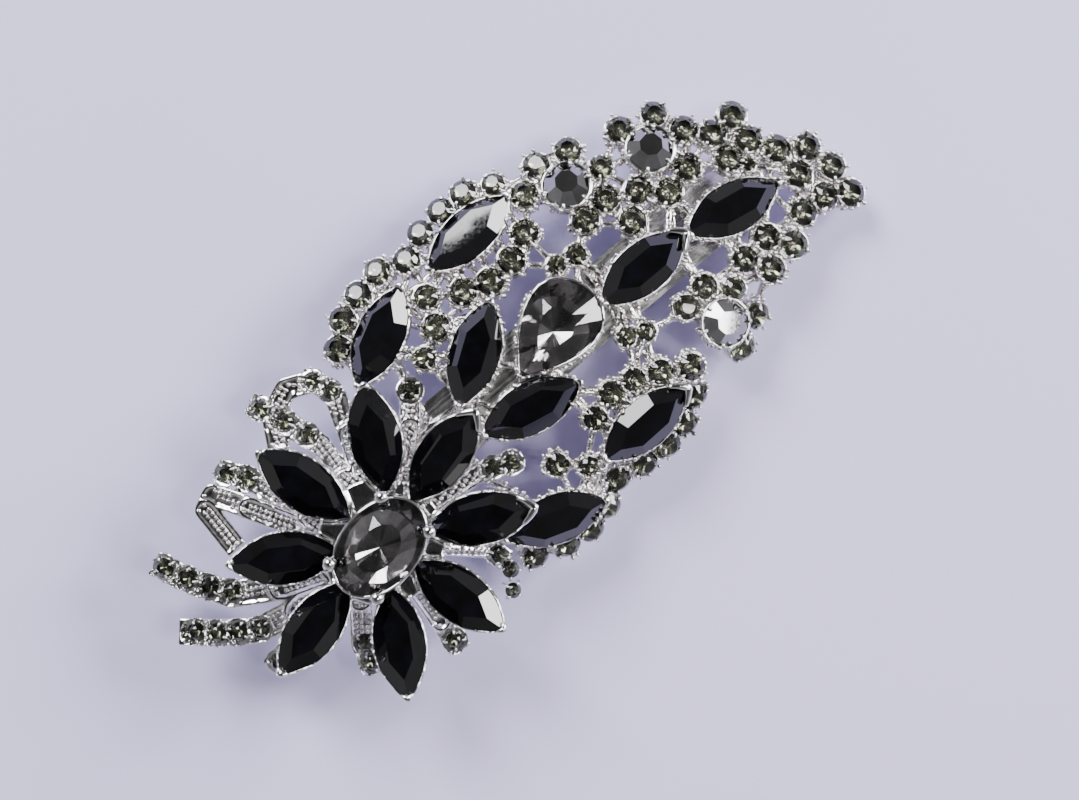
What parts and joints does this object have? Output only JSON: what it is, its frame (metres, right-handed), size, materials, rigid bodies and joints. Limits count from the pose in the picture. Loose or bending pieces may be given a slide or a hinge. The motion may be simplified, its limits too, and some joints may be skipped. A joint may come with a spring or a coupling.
{
  "type": "rhinestone hair clip",
  "caption": "Feather-and-flower rhinestone ornament in cast metal, riveted to an arched automatic barrette with a hinged locking arm, a tension bow and a pinch clasp.",
  "frame": {"origin": "centre of the overall box, on the plane that the locking arm's flat feet rest on", "axes": "+X along the feather from the flower to its tip, +Y across it, +Z from the hair to the stone side"},
  "size_m": [0.1119, 0.0509, 0.0181],
  "materials": {
    "plated_steel": "nickel plated, satin",
    "spring_steel": "brushed along its length",
    "rivet_steel": "plain",
    "rhodium_casting": "rhodium plated, granulated",
    "black_glass": "polished facets",
    "hematite_glass": "mirror-coated facets",
    "smoky_glass": "foiled, smoky"
  },
  "bodies": {
    "root": {"base_plate": "plated_steel", "bow_casting": "rhodium_casting", "bow_rhinestones": "smoky_glass", "feather_casting": "rhodium_casting", "flower_casting": "rhodium_casting", "flower_rivet": "rivet_steel", "hinge_pin": "rivet_steel", "inner_lower_rhinestones": "smoky_glass", "inner_upper_rhinestones": "smoky_glass", "leaf_stone_1": "black_glass", "leaf_stone_2": "black_glass", "leaf_stone_3": "black_glass", "leaf_stone_4": "black_glass", "leaf_stone_5": "black_glass", "leaf_stone_6": "black_glass", "leaf_stone_7": "black_glass", "leaf_stone_8": "black_glass", "lower_rim_rhinestones": "smoky_glass", "oval_stone": "hematite_glass", "pear_stone": "hematite_glass", "petal_stone_1": "black_glass", "petal_stone_2": "black_glass", "petal_stone_3": "black_glass", "petal_stone_4": "black_glass", "petal_stone_5": "black_glass", "petal_stone_6": "black_glass", "petal_stone_7": "black_glass", "petal_stone_8": "black_glass", "plate_rivets": "rivet_steel", "round_stone_1": "hematite_glass", "round_stone_2": "hematite_glass", "round_stone_3": "hematite_glass", "tip_rhinestones": "smoky_glass", "upper_rim_rhinestones": "smoky_glass"},
    "arm": {"locking_arm": "plated_steel"},
    "bow": {"tension_bow": "spring_steel"},
    "prong_left": {"left_prong": "plated_steel"},
    "prong_right": {"right_prong": "plated_steel"}
  },
  "joints": [
    {"name": "arm_hinge", "type": "hinge", "parent": "root", "child": "arm", "pos_m": [-0.0385, 0, 0.0024], "axis": [0, 1, 0], "range_deg": [0, 70]},
    {"name": "bow_flex", "type": "slide", "parent": "root", "child": "bow", "axis": [0, 0, 1], "range_m": [0, 0.0009], "stiffness_N_per_m": 400, "springref_m": -0.0002},
    {"name": "left_prong_pinch", "type": "hinge", "parent": "root", "child": "prong_left", "pos_m": [0.0383, 0.0024, 0.0024], "axis": [-1, 0, 0], "range_deg": [0, 8], "stiffness_Nm_per_rad": 0.02},
    {"name": "right_prong_pinch", "type": "hinge", "parent": "root", "child": "prong_right", "pos_m": [0.0383, -0.0024, 0.0024], "axis": [1, 0, 0], "range_deg": [0, 8], "stiffness_Nm_per_rad": 0.02}
  ]
}
